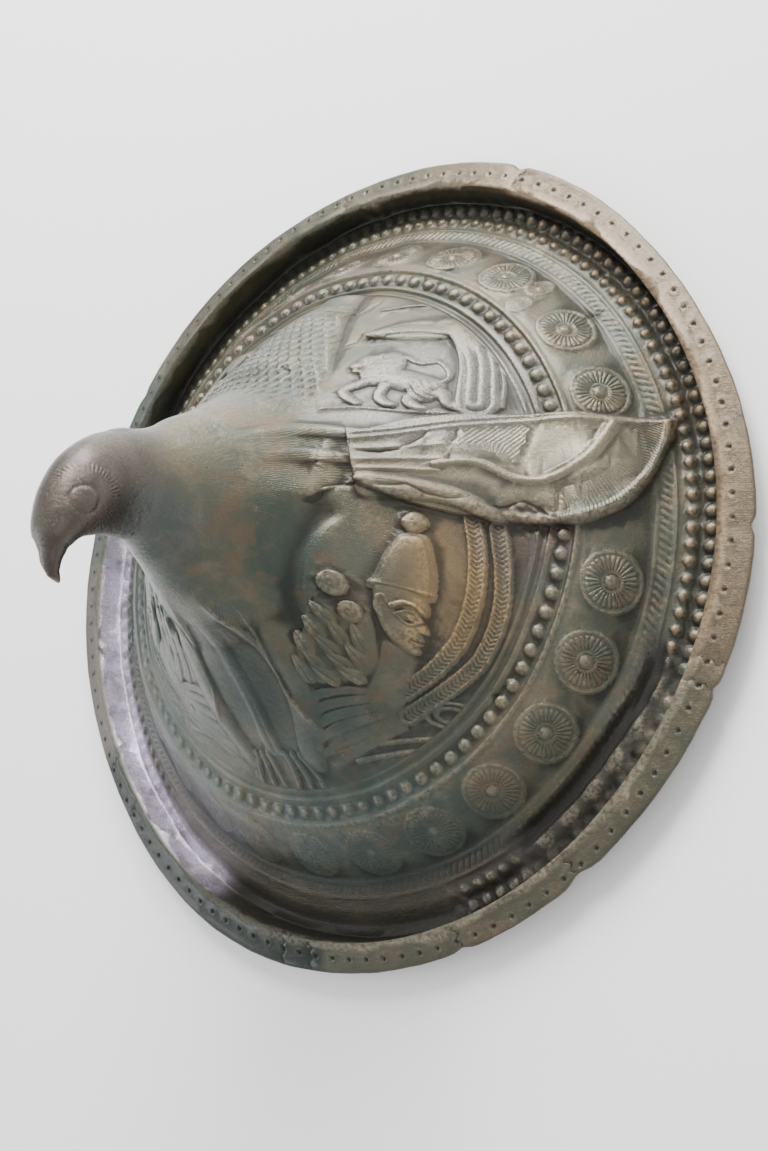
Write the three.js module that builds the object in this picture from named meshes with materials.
// A round shield hammered from one bronze sheet, lying on its back: a bird of prey stands out of
// its middle, over two sphinxes and two lions in relief, inside rings of beads and rosettes.
// Millimetres, +Z out of the shield's face, +Y towards the bird's tail, +X towards its right-hand wing.
// The origin is under the middle, at the level of the lowest point of the underside.

import * as THREE from 'three';

const degrees = Math.PI / 180;

// Sheet: its thickness in the outer rings, and in the middle field with the neck and head
const sheetThickness = 1.5;
const middleWall = 3;

// Flange round the edge
const rimRadius = 298;
const flangeWidth = 20;
const rimHeight = 18.5;
const flangeRise = 5;
const flangeInnerRadius = rimRadius - flangeWidth;
// How the hammered edge leaves the true circle: waves round the edge, size in mm, phase in degrees
const edgeWaves = [
  { count: 2, size: 1.0, phase: 20 },
  { count: 3, size: 1.1, phase: 47 },
  { count: 4, size: 2.2, phase: -43 },
  { count: 5, size: 0.8, phase: -43 },
  { count: 6, size: 1.0, phase: 48 },
];

// Groove inside the flange, with its two rows of beads
const grooveWallRun = 4;
const grooveFloorWidth = 6;
const grooveOuterRadius = flangeInnerRadius - grooveWallRun;
const beadCount = 148;
const largeBeadRadius = grooveOuterRadius - grooveFloorWidth;
const largeBeadHeight = 4;
const beadRowStep = 11;
const smallBeadRadius = largeBeadRadius - beadRowStep;
const smallBeadSeatHeight = 7;
const smallBeadHeight = 3;

// Rope band
const ropeMargin = 8;
const ropeWidth = 12;
const ropeMarginRise = 3.5;
const ropeRise = 6.5;
const ropeRidgeHeight = 2.5;
const ropeOuterRadius = smallBeadRadius - ropeMargin;
const ropeOuterHeight = smallBeadSeatHeight + ropeMarginRise;
const ropeInnerRadius = ropeOuterRadius - ropeWidth;
const ropeInnerHeight = ropeOuterHeight + ropeRise;

// Frieze of rosettes
const friezeWidth = 33;
const friezeRise = 33;
const friezeInnerRadius = ropeInnerRadius - friezeWidth;
const friezeInnerHeight = ropeInnerHeight + friezeRise;
const friezeMidRadius = (ropeInnerRadius + friezeInnerRadius) / 2;
const friezeMidHeight = (ropeInnerHeight + friezeInnerHeight) / 2;
// A rosette nearly fills the frieze's width, measured along the slope
const rosetteMargin = 4.3;
const rosetteRadius = Math.hypot(friezeWidth, friezeRise) / 2 - rosetteMargin;
const rosetteRise = 2.5;
const rosetteBossRise = 3.5;
const rosetteCrestShare = 0.86;
const lowerRosetteCount = 13;
const lowerRosettePitch = 13.55;
const upperRosetteCount = 10;
const upperRosettePitch = 14.5;

// Ring of beads between two ridges, round the middle field
const medallionBandWidth = 22;
const medallionBandRise = 9;
const medallionBeadCount = 96;
const medallionBeadHeight = 3.5;
const medallionRidgeInset = 3;
const medallionRidgeHeight = 2;
const fieldRadius = friezeInnerRadius - medallionBandWidth;
const fieldEdgeHeight = friezeInnerHeight + medallionBandRise;
const medallionBeadRadius = (friezeInnerRadius + fieldRadius) / 2;
const medallionBeadSeatHeight = (friezeInnerHeight + fieldEdgeHeight) / 2;

// Cone of the middle field, from its edge up to the collar at the foot of the neck. Each place is a
// share of the way out from the collar to the field's edge
const collarRadius = 44;
const fieldShoulderPlace = 0.7;
const fieldShoulderRise = 38;
const fieldInnerPlace = 0.4;
const fieldInnerRise = 34;
const bodyPlace = 0.2;
const bodyRise = 27;
const collarRise = 40;
const fieldShoulderRadius = collarRadius + fieldShoulderPlace * (fieldRadius - collarRadius);
const fieldShoulderHeight = fieldEdgeHeight + fieldShoulderRise;
const fieldInnerRadius = collarRadius + fieldInnerPlace * (fieldRadius - collarRadius);
const fieldInnerHeight = fieldShoulderHeight + fieldInnerRise;
const bodyRadius = collarRadius + bodyPlace * (fieldRadius - collarRadius);
const bodyHeight = fieldInnerHeight + bodyRise;
const collarHeight = bodyHeight + collarRise;
// The bird's body is an oval in plan: longer than wide by this share, its middle moved along Y
const bodyLengthening = 0.24;
const bodyShift = -4;

// The figures' places in plan are drawn for a field of this radius, and spread with the field
const drawnFieldRadius = 182;
const drawingScale = fieldRadius / drawnFieldRadius;

// Wings, for the one on +X; the other is its mirror image
const wingTipReach = 243;
const wingRise = 4.5;
const wingEdgeWidth = 6;
const wingRidgeRise = 2.5;
const wingRidgeHalfWidth = 4.5;
const wingBandEndHalfWidth = 3.2;
const wingLobeHalfWidth = 7;
const wingLobeEndHalfWidth = 6;

// Tail
const tailEnd = 189;
const tailRise = 14;
const tailEndHalfWidth = 20;

// Breast, legs and claws
const breastRise = 13;
const legRise = 12;
const innerLegRise = 6;
const clawRise = 4;

// Figures in the field
const lionRise = 5;
const plantRise = 5;
const sphinxRise = 7;
const bandRise = 3;

// Neck and head, as sections from the collar up to the beak: in each, the point on the throat's
// side and the point on the crown's side, both as [y, height over the collar], and half the width
// across. They are drawn for a collar of this radius, and grow with it
const drawnCollarRadius = 44;
const headScale = collarRadius / drawnCollarRadius;
const headSections = [
  { throat: [-50, 13], crown: [44, 14], halfWidth: 34 },
  { throat: [-43, 26], crown: [34, 27], halfWidth: 28 },
  { throat: [-42, 39], crown: [27, 40], halfWidth: 24 },
  { throat: [-42.5, 48], crown: [22, 58], halfWidth: 22.5 },
  { throat: [-43, 56], crown: [13, 78], halfWidth: 22 },
  { throat: [-44, 63], crown: [-2, 94], halfWidth: 22 },
  { throat: [-46, 69.5], crown: [-22, 101], halfWidth: 20 },
  { throat: [-48.5, 76], crown: [-40, 103], halfWidth: 16 },
  { throat: [-52, 81], crown: [-52, 104], halfWidth: 11.5 },
  { throat: [-58, 85], crown: [-62, 103], halfWidth: 8.5 },
  { throat: [-64, 86.5], crown: [-71, 99], halfWidth: 6 },
  { throat: [-70, 85], crown: [-76, 92], halfWidth: 3.5 },
];
const beakTip = [-77, 83];
// The head is hollow up to this many of its sections; the beak is solid
const hollowSectionCount = 7;

// Fineness of the faceted surface
const flangeSides = 80;
const backSides = 40;
const neckSides = 18;
const hollowSides = 12;
const rosetteSides = 9;
const cellArcSteps = 4;
const wingPanelSteps = 6;
const wingPanelShares = [0.82, 0.5, 0.2];
const fieldTiles = 4;
const fieldCells = 64;
const fieldTolerance = 1.9;

function clamp(value, low, high) {
  return Math.min(high, Math.max(low, value));
}

function smoothStep(low, high, value) {
  const t = clamp((value - low) / (high - low), 0, 1);
  return t * t * (3 - 2 * t);
}

// A smooth curve through [place, value] pairs in order of place, without overshoot between them
function smoothTable(table) {
  const last = table.length - 1;
  const slopes = table.map((entry, i) => {
    if (i === 0 || i === last) return 0;
    const before = (entry[1] - table[i - 1][1]) / (entry[0] - table[i - 1][0]);
    const after = (table[i + 1][1] - entry[1]) / (table[i + 1][0] - entry[0]);
    return before * after <= 0 ? 0 : (2 * before * after) / (before + after);
  });
  return (place) => {
    if (place <= table[0][0]) return table[0][1];
    if (place >= table[last][0]) return table[last][1];
    let i = 0;
    while (place > table[i + 1][0]) i += 1;
    const run = table[i + 1][0] - table[i][0];
    const t = (place - table[i][0]) / run;
    const rest = 1 - t;
    const values = table[i][1] * (1 + 2 * t) * rest * rest + table[i + 1][1] * t * t * (3 - 2 * t);
    return values + run * t * rest * (slopes[i] * rest - slopes[i + 1] * t);
  };
}

// The outer face's height over the distance from the axis, without any relief
const plainProfile = smoothTable([
  [collarRadius, collarHeight],
  [bodyRadius, bodyHeight],
  [fieldInnerRadius, fieldInnerHeight],
  [fieldShoulderRadius, fieldShoulderHeight],
  [fieldRadius, fieldEdgeHeight],
  [medallionBeadRadius, medallionBeadSeatHeight],
  [friezeInnerRadius, friezeInnerHeight],
  [friezeMidRadius, friezeMidHeight],
  [ropeInnerRadius, ropeInnerHeight],
  [ropeOuterRadius, ropeOuterHeight],
  [smallBeadRadius, smallBeadSeatHeight],
  [largeBeadRadius, sheetThickness],
  [grooveOuterRadius, sheetThickness],
  [flangeInnerRadius, rimHeight + flangeRise],
]);

// How far the bird's oval body reaches in one direction, as a share of its reach along X
function bodyReach(sine) {
  return 1 + bodyLengthening * sine * sine;
}

// Distance from the axis, in which the ovals round the body count as the circles they grow into
function bodyDistance(x, y) {
  const closeness = 1 - smoothStep(collarRadius, fieldShoulderRadius, Math.hypot(x, y));
  const shifted = y - bodyShift * closeness;
  const distance = Math.hypot(x, shifted);
  const reach = bodyReach(shifted / distance);
  return distance / (1 + (reach - 1) * closeness);
}

// A rounded back's height over a reach that is 0 in its middle and 1 at its edge
function roundBack(reach) {
  return reach < 1 ? 1 - reach * reach : 0;
}

// A round-backed bar along a path, from 0 beside it to 1 on its back; its half width changes evenly
function bar(x, y, path, startWidth, endWidth) {
  let best = 0;
  for (let i = 0; i + 1 < path.length; i += 1) {
    const [x0, y0] = path[i];
    const dx = path[i + 1][0] - x0;
    const dy = path[i + 1][1] - y0;
    const along = clamp(((x - x0) * dx + (y - y0) * dy) / (dx * dx + dy * dy), 0, 1);
    const away = Math.hypot(x - x0 - along * dx, y - y0 - along * dy);
    const share = (i + along) / (path.length - 1);
    best = Math.max(best, roundBack(away / (startWidth + (endWidth - startWidth) * share)));
  }
  return best;
}

// A cushion with an oval outline, from 0 at its edge to 1 in its middle
function cushion(x, y, centreX, centreY, halfX, halfY) {
  return roundBack(Math.hypot((x - centreX) / halfX, (y - centreY) / halfY));
}

const wingUpperEdge = smoothTable([[84, 50], [110, 61], [160, 72], [wingTipReach, 77]]);
const wingLowerEdge = smoothTable([[84, 14], [120, 3], [160, -2], [200, 0], [222, 14], [233, 34], [wingTipReach, 62]]);
const wingOuterRidge = [[158, 1], [198, 3], [214, 10], [228, 32], [236, 62], [238, 74]];
const wingInnerRidge = [[104, 18], [122, 26], [150, 33], [166, 28], [184, 29], [203, 42], [213, 70]];
const wingBand = [[96, 42], [126, 52], [162, 63], [190, 70]];
const wingLobe = [[104, 10], [122, 5], [142, 4], [160, 0]];
const wingRoot = 74;

function wingRelief(x, y) {
  if (x < wingRoot || x > wingTipReach + wingEdgeWidth) return 0;
  const inside = Math.min(wingUpperEdge(x) - y, y - wingLowerEdge(x), wingTipReach - x, (x - wingRoot) / 2);
  const plate = wingRise * smoothStep(-wingEdgeWidth / 2, wingEdgeWidth / 2, inside);
  const outer = bar(x, y, wingOuterRidge, wingRidgeHalfWidth, wingRidgeHalfWidth);
  const inner = bar(x, y, wingInnerRidge, wingRidgeHalfWidth, wingRidgeHalfWidth);
  const band = bar(x, y, wingBand, wingRidgeHalfWidth, wingBandEndHalfWidth);
  const lobe = bar(x, y, wingLobe, wingLobeHalfWidth, wingLobeEndHalfWidth);
  return plate + wingRidgeRise * Math.max(outer, inner, band, lobe);
}

const tailRoot = 70;
const tailHalfWidth = smoothTable([[tailRoot, 56], [90, 52], [116, 42], [160, 25], [tailEnd, tailEndHalfWidth]]);
const tailCrest = smoothTable([[78, 0], [105, 0.7], [140, 1], [170, 0.75], [tailEnd, 0.5]]);

function tailRelief(x, y) {
  if (y < tailRoot) return 0;
  const fall = 1 - smoothStep(tailEnd - wingEdgeWidth / 2, tailEnd + wingEdgeWidth / 2, y);
  return tailRise * tailCrest(y) * fall * roundBack(x / tailHalfWidth(y));
}

const legPath = [[31, -82], [35, -108], [33, -138], [20, -160]];
const innerLegPath = [[11, -100], [12, -128], [10, -150]];
const clawPaths = [[[20, -158], [26, -173]], [[14, -158], [17, -175]], [[8, -158], [8, -174]]];

function breastRelief(x, y) {
  const swell = breastRise * cushion(x, y, 0, -58, 50, 34);
  const leg = legRise * bar(x, y, legPath, 13, 9);
  const innerLeg = innerLegRise * bar(x, y, innerLegPath, 6, 6);
  const claw = Math.max(...clawPaths.map((path) => bar(x, y, path, 4, 3)));
  return Math.max(swell, leg, innerLeg) + clawRise * claw;
}

const lionLegs = [
  [[74, 90], [66, 80], [60, 77]],
  [[84, 88], [82, 76]],
  [[112, 86], [110, 77]],
  [[116, 86], [124, 73]],
];
const lionTail = [[114, 92], [120, 104], [110, 112], [101, 106]];

function lionRelief(x, y) {
  const body = bar(x, y, [[80, 97], [114, 88]], 10, 9);
  const mane = cushion(x, y, 81, 99, 13, 14);
  const head = cushion(x, y, 69, 103, 9, 8);
  const tail = bar(x, y, lionTail, 3.5, 3.5);
  const legs = Math.max(...lionLegs.map((path) => bar(x, y, path, 4.5, 3.5)));
  return lionRise * Math.max(body, mane, head, 0.7 * tail, 0.7 * legs);
}

const plantTop = [[57, 132], [83, 135], [103, 136]];
const plantStem = [[103, 136], [120, 124], [130, 104], [138, 80]];

function plantRelief(x, y) {
  return plantRise * Math.max(bar(x, y, plantTop, 5, 7), bar(x, y, plantStem, 7, 12));
}

const faceBand = [[144, -4], [151, -30], [152, -56], [140, -74], [122, -94], [108, -106]];
const outerBand = [[161, -8], [166, -34], [160, -58], [148, -78], [130, -100]];
const sphinxPaws = [[[70, -144], [108, -140]], [[66, -152], [104, -150]]];

function sphinxRelief(x, y) {
  const knob = cushion(x, y, 121, -9, 9, 9);
  const crown = bar(x, y, [[117, -20], [116, -46]], 14, 25);
  const face = cushion(x, y, 122, -68, 22, 27);
  const hair = bar(x, y, [[88, -50], [84, -74], [88, -102]], 14, 16);
  const neck = bar(x, y, [[110, -92], [98, -116]], 13, 18);
  const body = bar(x, y, [[62, -142], [34, -158]], 11, 8);
  const paw = cushion(x, y, 122, -126, 17, 9);
  const paws = Math.max(...sphinxPaws.map((path) => bar(x, y, path, 4, 4)));
  const bands = Math.max(bar(x, y, faceBand, 5, 5), bar(x, y, outerBand, 5, 5));
  const high = Math.max(0.8 * knob, crown, face, 0.9 * hair, 0.8 * neck, 0.7 * body, 0.6 * paw);
  return Math.max(sphinxRise * high, bandRise * Math.max(bands, paws));
}

// Rise of the wings over a point of the outer face
function wingLift(x, y) {
  return wingRelief(Math.abs(x) / drawingScale, y / drawingScale);
}

// Height of the outer face over a point of the middle field
function fieldHeight(x, y) {
  const across = Math.abs(x) / drawingScale;
  const along = y / drawingScale;
  const above = Math.max(lionRelief(across, along), plantRelief(across, along), tailRelief(across, along));
  const below = Math.max(sphinxRelief(across, along), breastRelief(across, along));
  const relief = Math.max(wingLift(x, y), y > 0 ? above : below);
  // The relief grows out of the plain neck
  const distance = bodyDistance(x, y);
  return plainProfile(distance) + relief * smoothStep(collarRadius, bodyRadius, distance);
}

function edgeShift(angle) {
  const shifts = edgeWaves.map((wave) => wave.size * Math.cos(wave.count * angle - wave.phase * degrees));
  return shifts.reduce((sum, shift) => sum + shift, 0);
}

// One growing mesh: points, and triangles that name them
const points = [];
const triangles = [];

function addPoint(x, y, z) {
  points.push([x, y, z]);
  return points.length - 1;
}

// The loop's points with their angles round a centre, from the lowest angle on and once round
function unrollLoop(loop, centre) {
  const angles = loop.map((point) => Math.atan2(points[point][1] - centre[1], points[point][0] - centre[0]));
  const start = angles.indexOf(Math.min(...angles));
  const turned = loop.map((_, i) => {
    const from = (start + i) % loop.length;
    return { point: loop[from], angle: angles[from] };
  });
  return [...turned, { point: turned[0].point, angle: turned[0].angle + 2 * Math.PI }];
}

// Fills the belt between two closed loops, both anticlockwise round a centre as seen from +Z
function joinLoops(outerLoop, innerLoop, centre = [0, 0]) {
  const outer = unrollLoop(outerLoop, centre);
  const inner = unrollLoop(innerLoop, centre);
  let i = 0;
  let j = 0;
  while (i + 1 < outer.length || j + 1 < inner.length) {
    const nextOuter = i + 1 < outer.length ? outer[i + 1].angle + outer[i].angle : Infinity;
    const nextInner = j + 1 < inner.length ? inner[j + 1].angle + inner[j].angle : Infinity;
    if (nextOuter <= nextInner) {
      triangles.push([outer[i].point, outer[i + 1].point, inner[j].point]);
      i += 1;
    } else {
      triangles.push([outer[i].point, inner[j + 1].point, inner[j].point]);
      j += 1;
    }
  }
}

function joinAll(loops) {
  for (let i = 0; i + 1 < loops.length; i += 1) joinLoops(loops[i], loops[i + 1]);
}

// Closes a loop with a fan of triangles to one point
function closeLoop(loop, tip) {
  loop.forEach((point, i) => triangles.push([point, loop[(i + 1) % loop.length], tip]));
}

// A closed ring of points; place(angle, i) gives each one's radius and height
function ring(count, place) {
  const loop = [];
  for (let i = 0; i < count; i += 1) {
    const angle = (i / count) * 2 * Math.PI - Math.PI;
    const [radius, height] = place(angle, i);
    loop.push(addPoint(radius * Math.cos(angle), radius * Math.sin(angle), height));
  }
  return loop;
}

function ringLift(radius, angle) {
  return wingLift(radius * Math.cos(angle), radius * Math.sin(angle));
}

function faceRing(radius, lift = 0) {
  return ring(flangeSides, (angle) => [radius, plainProfile(radius) + lift + ringLift(radius, angle)]);
}

// A row of beads is a ring whose points stand high and low by turns; a wing over it hides them
function beadRing(count, radius, lift) {
  return ring(2 * count, (angle, i) => {
    const wing = ringLift(radius, angle);
    const bead = i % 2 === 1 && wing < lift / 2 ? lift : 0;
    return [radius, plainProfile(radius) + wing + bead];
  });
}

// The frieze's cells in order round the shield, in degrees: one for each rosette of the lower and
// of the upper run, and one without a rosette under each wing
function friezeCells() {
  const cells = [];
  const addRun = (middle, count, pitch) => {
    for (let i = 0; i < count; i += 1) {
      const centre = middle + (i - (count - 1) / 2) * pitch;
      cells.push({ start: centre - pitch / 2, end: centre + pitch / 2, centre, hasRosette: true });
    }
  };
  const addWing = (start, end) => cells.push({ start, end, centre: (start + end) / 2, hasRosette: false });
  const lowerEnd = -90 + (lowerRosetteCount / 2) * lowerRosettePitch;
  const upperStart = 90 - (upperRosetteCount / 2) * upperRosettePitch;
  addRun(-90, lowerRosetteCount, lowerRosettePitch);
  addWing(lowerEnd, upperStart);
  addRun(90, upperRosetteCount, upperRosettePitch);
  addWing(180 - upperStart, 180 - lowerEnd);
  return cells;
}

// A cell's edge at one radius, from its start up to its end but without that last point
function cellArc(cell, radius) {
  const steps = cell.hasRosette ? cellArcSteps : wingPanelSteps;
  const arc = [];
  for (let i = 0; i < steps; i += 1) {
    const angle = (cell.start + ((cell.end - cell.start) * i) / steps) * degrees;
    const height = plainProfile(radius) + ringLift(radius, angle);
    arc.push(addPoint(radius * Math.cos(angle), radius * Math.sin(angle), height));
  }
  return arc;
}

function makeFrieze() {
  const cells = friezeCells();
  const outer = cells.map((cell) => cellArc(cell, ropeInnerRadius));
  const inner = cells.map((cell) => cellArc(cell, friezeInnerRadius));
  cells.forEach((cell, i) => {
    const next = (i + 1) % cells.length;
    const edge = [...outer[i], outer[next][0], inner[next][0], ...inner[i].slice().reverse()];
    const makeCell = cell.hasRosette ? makeRosette : makeWingPanel;
    makeCell(cell.centre * degrees, edge);
  });
  return { outerLoop: outer.flat(), innerLoop: inner.flat() };
}

// A rosette: a raised disc with a round boss in its middle
function makeRosette(angle, edge) {
  const centre = [friezeMidRadius * Math.cos(angle), friezeMidRadius * Math.sin(angle)];
  // Seen from above, a disc is narrower down the slope of the frieze
  const narrowing = friezeWidth / Math.hypot(friezeWidth, friezeRise);
  const disc = (radius, lift) => {
    const loop = [];
    for (let i = 0; i < rosetteSides; i += 1) {
      const turn = (i / rosetteSides) * 2 * Math.PI;
      const outwards = radius * narrowing * Math.cos(turn);
      const sideways = radius * Math.sin(turn);
      const x = centre[0] + outwards * Math.cos(angle) - sideways * Math.sin(angle);
      const y = centre[1] + outwards * Math.sin(angle) + sideways * Math.cos(angle);
      loop.push(addPoint(x, y, plainProfile(Math.hypot(x, y)) + lift));
    }
    return loop;
  };
  const foot = disc(rosetteRadius, 0);
  const crest = disc(rosetteRadius * rosetteCrestShare, rosetteRise);
  joinLoops(edge, foot, centre);
  joinLoops(foot, crest, centre);
  closeLoop(crest, addPoint(centre[0], centre[1], friezeMidHeight + rosetteBossRise));
}

// The stretch of frieze under a wing: the cell's edge drawn in step by step to its middle
function makeWingPanel(angle, edge) {
  const centre = [friezeMidRadius * Math.cos(angle), friezeMidRadius * Math.sin(angle)];
  const place = (x, y) => addPoint(x, y, plainProfile(Math.hypot(x, y)) + wingLift(x, y));
  const loops = wingPanelShares.map((share) => edge.map((point) => {
    const [x, y] = points[point];
    return place(centre[0] + (x - centre[0]) * share, centre[1] + (y - centre[1]) * share);
  }));
  let outside = edge;
  for (const loop of loops) {
    joinLoops(outside, loop, centre);
    outside = loop;
  }
  closeLoop(outside, place(centre[0], centre[1]));
}

// The plan place of the field's grid: columns run round the shield, rows from its edge to the collar
function fieldPlace(column, row) {
  const angle = (column / (fieldTiles * fieldCells)) * 2 * Math.PI - Math.PI;
  const share = row / fieldCells;
  const collar = collarRadius * bodyReach(Math.sin(angle));
  const radius = fieldRadius + (collar - fieldRadius) * share;
  return [radius * Math.cos(angle), radius * Math.sin(angle) + bodyShift * share];
}

// The middle field as right-angled triangles, halved again and again wherever the flat triangle
// would leave the true height by more than the tolerance
function makeField() {
  const columns = fieldTiles * fieldCells;
  const heights = [];
  for (let row = 0; row <= fieldCells; row += 1) {
    for (let column = 0; column < columns; column += 1) heights.push(fieldHeight(...fieldPlace(column, row)));
  }
  const gridIndex = (column, row) => row * columns + ((column + columns) % columns);
  const errors = new Float64Array(heights.length);

  const middleOf = (a, b) => [(a[0] + b[0]) / 2, (a[1] + b[1]) / 2];
  // Halves a triangle, hypotenuse a to b and right angle at c, down to one level, and measures there
  const measure = (a, b, c, level, wanted) => {
    const middle = middleOf(a, b);
    if (level > wanted) {
      measure(c, a, middle, level - 1, wanted);
      measure(b, c, middle, level - 1, wanted);
      return;
    }
    const here = gridIndex(...middle);
    const flat = (heights[gridIndex(...a)] + heights[gridIndex(...b)]) / 2;
    errors[here] = Math.max(errors[here], Math.abs(flat - heights[here]));
    if (level > 1) {
      errors[here] = Math.max(errors[here], errors[gridIndex(...middleOf(a, c))], errors[gridIndex(...middleOf(b, c))]);
    }
  };
  const levels = 2 * Math.log2(fieldCells);
  const halves = [];
  for (let tile = 0; tile < fieldTiles; tile += 1) {
    const left = tile * fieldCells;
    const right = left + fieldCells;
    halves.push([[left, 0], [right, fieldCells], [right, 0]]);
    halves.push([[right, fieldCells], [left, 0], [left, fieldCells]]);
  }
  // From the finest level up, so that a coarse triangle knows every error inside it
  for (let wanted = 1; wanted <= levels; wanted += 1) {
    for (const [a, b, c] of halves) measure(a, b, c, levels, wanted);
  }

  const placed = new Map();
  const place = ([column, row]) => {
    const index = gridIndex(column, row);
    if (!placed.has(index)) placed.set(index, addPoint(...fieldPlace(column, row), heights[index]));
    return placed.get(index);
  };
  const emit = (a, b, c, level) => {
    const middle = middleOf(a, b);
    if (level > 0 && errors[gridIndex(...middle)] > fieldTolerance) {
      emit(c, a, middle, level - 1);
      emit(b, c, middle, level - 1);
    } else {
      triangles.push([place(b), place(a), place(c)]);
    }
  };
  for (const [a, b, c] of halves) emit(a, b, c, levels);

  const borderLoop = (row) => {
    const loop = [];
    for (let column = 0; column < columns; column += 1) {
      const index = gridIndex(column, row);
      if (placed.has(index)) loop.push(placed.get(index));
    }
    return loop;
  };
  return { outerLoop: borderLoop(0), innerLoop: borderLoop(fieldCells) };
}

// A point of the head's middle plane, drawn as [y, height over the collar], in the part's frame
function headPlace([y, height]) {
  return [y * headScale, collarHeight + height * headScale];
}

// One section of the neck or head, drawn in by a wall where it belongs to the hollow inside
function headLoop(section, sides, wall) {
  const [throatY, throatZ] = headPlace(section.throat);
  const [crownY, crownZ] = headPlace(section.crown);
  const length = Math.hypot(crownY - throatY, crownZ - throatZ);
  const loop = [];
  for (let i = 0; i < sides; i += 1) {
    const turn = (i / sides) * 2 * Math.PI - Math.PI;
    const across = (section.halfWidth * headScale - wall) * Math.cos(turn);
    const along = 0.5 + (0.5 - wall / length) * Math.sin(turn);
    const y = throatY + (crownY - throatY) * along;
    const z = throatZ + (crownZ - throatZ) * along;
    loop.push(addPoint(across, y, z));
  }
  return loop;
}

// Joins two loops of as many points each, one above the other
function joinEvenLoops(lower, upper) {
  lower.forEach((point, i) => {
    const next = (i + 1) % lower.length;
    triangles.push([point, lower[next], upper[i]]);
    triangles.push([lower[next], upper[next], upper[i]]);
  });
}

function makeHead(collarLoop) {
  const loops = headSections.map((section) => headLoop(section, neckSides, 0));
  joinLoops(collarLoop, loops[0], [0, bodyShift]);
  for (let i = 0; i + 1 < loops.length; i += 1) joinEvenLoops(loops[i], loops[i + 1]);
  closeLoop(loops[loops.length - 1], addPoint(0, ...headPlace(beakTip)));
}

function makeFace() {
  const edge = ring(flangeSides, (angle) => [rimRadius + edgeShift(angle), rimHeight]);
  const flangeInside = ring(flangeSides, (angle) => [
    flangeInnerRadius + edgeShift(angle) / 2,
    rimHeight + flangeRise,
  ]);
  const frieze = makeFrieze();
  const field = makeField();
  joinAll([
    edge,
    flangeInside,
    faceRing(grooveOuterRadius),
    beadRing(beadCount, largeBeadRadius, largeBeadHeight),
    faceRing((largeBeadRadius + smallBeadRadius) / 2),
    beadRing(beadCount, smallBeadRadius, smallBeadHeight),
    faceRing(ropeOuterRadius),
    faceRing((ropeOuterRadius + ropeInnerRadius) / 2, ropeRidgeHeight),
    frieze.outerLoop,
  ]);
  joinAll([
    frieze.innerLoop,
    faceRing(friezeInnerRadius - medallionRidgeInset, medallionRidgeHeight),
    beadRing(medallionBeadCount, medallionBeadRadius, medallionBeadHeight),
    faceRing(fieldRadius + medallionRidgeInset, medallionRidgeHeight),
    field.outerLoop,
  ]);
  makeHead(field.innerLoop);
  return edge;
}

// How far from the axis, in one direction, a plain surface without relief has the height that the
// profile gives for a distance
function reachOf(distance, angle) {
  let near = 0;
  let far = distance * (1 + bodyLengthening) + Math.abs(bodyShift);
  for (let halving = 0; halving < 30; halving += 1) {
    const middle = (near + far) / 2;
    if (bodyDistance(middle * Math.cos(angle), middle * Math.sin(angle)) < distance) near = middle;
    else far = middle;
  }
  return far;
}

// The underside follows the plain profile, a wall's thickness further in along the slope
function backRing(outerRadius, wall) {
  const step = 0.5;
  const slope = (plainProfile(outerRadius - step) - plainProfile(outerRadius + step)) / (2 * step);
  const lean = Math.hypot(1, slope);
  const height = plainProfile(outerRadius) - wall / lean;
  return ring(backSides, (angle) => [reachOf(outerRadius, angle) - (wall * slope) / lean, height]);
}

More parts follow.
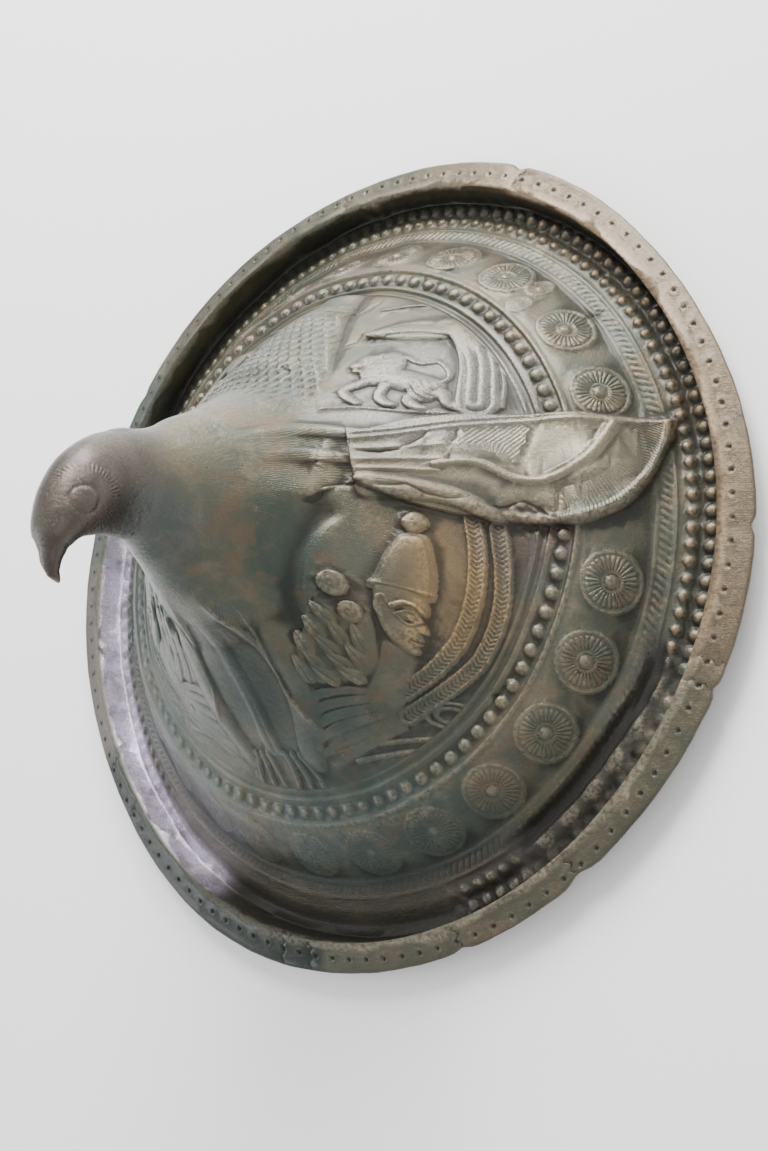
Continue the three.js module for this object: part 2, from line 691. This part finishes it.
function makeBack(edge) {
  const firstTriangle = triangles.length;
  const hollow = headSections.slice(0, hollowSectionCount).map((section) => headLoop(section, hollowSides, middleWall));
  // The groove's outer wall has its back further out; the flat it stands on is the underside's lowest
  const flangeBack = ring(flangeSides, (angle) => [
    flangeInnerRadius + sheetThickness + edgeShift(angle) / 2,
    rimHeight + flangeRise - sheetThickness,
  ]);
  const edgeBack = edge.map((point) => {
    const [x, y, z] = points[point];
    return addPoint(x, y, z - sheetThickness);
  });
  const innermost = backRing(collarRadius, middleWall);
  joinAll([
    edgeBack,
    flangeBack,
    ring(flangeSides, () => [grooveOuterRadius + sheetThickness, 0]),
    ring(backSides, () => [largeBeadRadius, 0]),
    backRing(smallBeadRadius, sheetThickness),
    backRing(ropeOuterRadius, sheetThickness),
    backRing(ropeInnerRadius, sheetThickness),
    backRing(friezeMidRadius, sheetThickness),
    backRing(friezeInnerRadius, sheetThickness),
    backRing(fieldRadius, middleWall),
    backRing(fieldShoulderRadius, middleWall),
    backRing(fieldInnerRadius, middleWall),
    backRing(bodyRadius, middleWall),
    innermost,
  ]);
  joinLoops(innermost, hollow[0], [0, bodyShift]);
  for (let i = 0; i + 1 < hollow.length; i += 1) joinEvenLoops(hollow[i], hollow[i + 1]);
  const last = headSections[hollowSectionCount - 1];
  const [throatY, throatZ] = headPlace(last.throat);
  const [crownY, crownZ] = headPlace(last.crown);
  const cap = addPoint(0, (throatY + crownY) / 2 - middleWall, (throatZ + crownZ) / 2 + middleWall);
  closeLoop(hollow[hollow.length - 1], cap);
  // The underside looks the other way, so its triangles are turned round
  for (let i = firstTriangle; i < triangles.length; i += 1) triangles[i].reverse();
  return edgeBack;
}

function makeEdge(edge, edgeBack) {
  edge.forEach((point, i) => {
    const next = (i + 1) % edge.length;
    triangles.push([edgeBack[i], edgeBack[next], edge[next]]);
    triangles.push([edgeBack[i], edge[next], point]);
  });
}

function makeShield() {
  const edge = makeFace();
  const edgeBack = makeBack(edge);
  makeEdge(edge, edgeBack);
  const geometry = new THREE.BufferGeometry();
  geometry.setAttribute('position', new THREE.Float32BufferAttribute(points.flat(), 3));
  geometry.setIndex(triangles.flat());
  // The waves of the edge move the outline a little; the origin stays under its middle
  geometry.computeBoundingBox();
  const middle = geometry.boundingBox.getCenter(new THREE.Vector3());
  geometry.translate(-middle.x, -middle.y, 0);
  geometry.computeVertexNormals();
  const bronze = new THREE.MeshStandardMaterial({ color: 0x5f5c4b, roughness: 0.45, metalness: 0.85 });
  const shield = new THREE.Mesh(geometry, bronze);
  shield.name = 'shield';
  return shield;
}

const model = new THREE.Group();
model.add(makeShield());

export default model;
